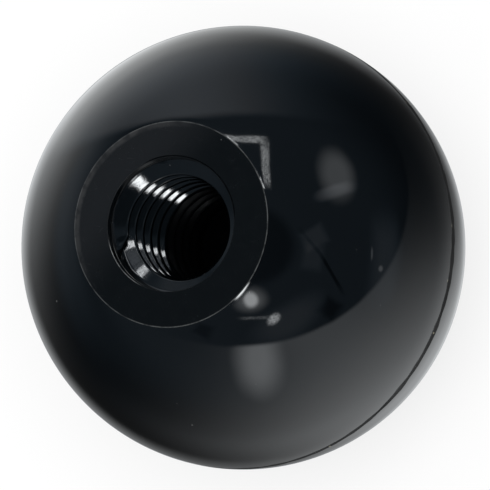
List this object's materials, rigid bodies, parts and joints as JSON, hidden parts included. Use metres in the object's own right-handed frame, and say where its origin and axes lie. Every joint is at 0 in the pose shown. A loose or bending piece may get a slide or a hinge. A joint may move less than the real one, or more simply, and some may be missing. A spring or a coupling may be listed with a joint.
{
  "type": "ball knob",
  "caption": "Solid moulded ball knob with a flat turned seat and a recessed, threaded blind bore for a lever end or stud.",
  "frame": {"origin": "centre of the seat, on the bore's axis in the middle of the mouth", "axes": "+Z runs along the bore's axis and out of its mouth, the way the stud leaves; the ball hangs below the seat"},
  "size_m": [0.035, 0.035, 0.033],
  "materials": {
    "black_phenolic": "black thermoset moulded to a high gloss, with a satin turned seat"
  },
  "bodies": {
    "root": {"ball_knob": "black_phenolic"}
  },
  "joints": []
}
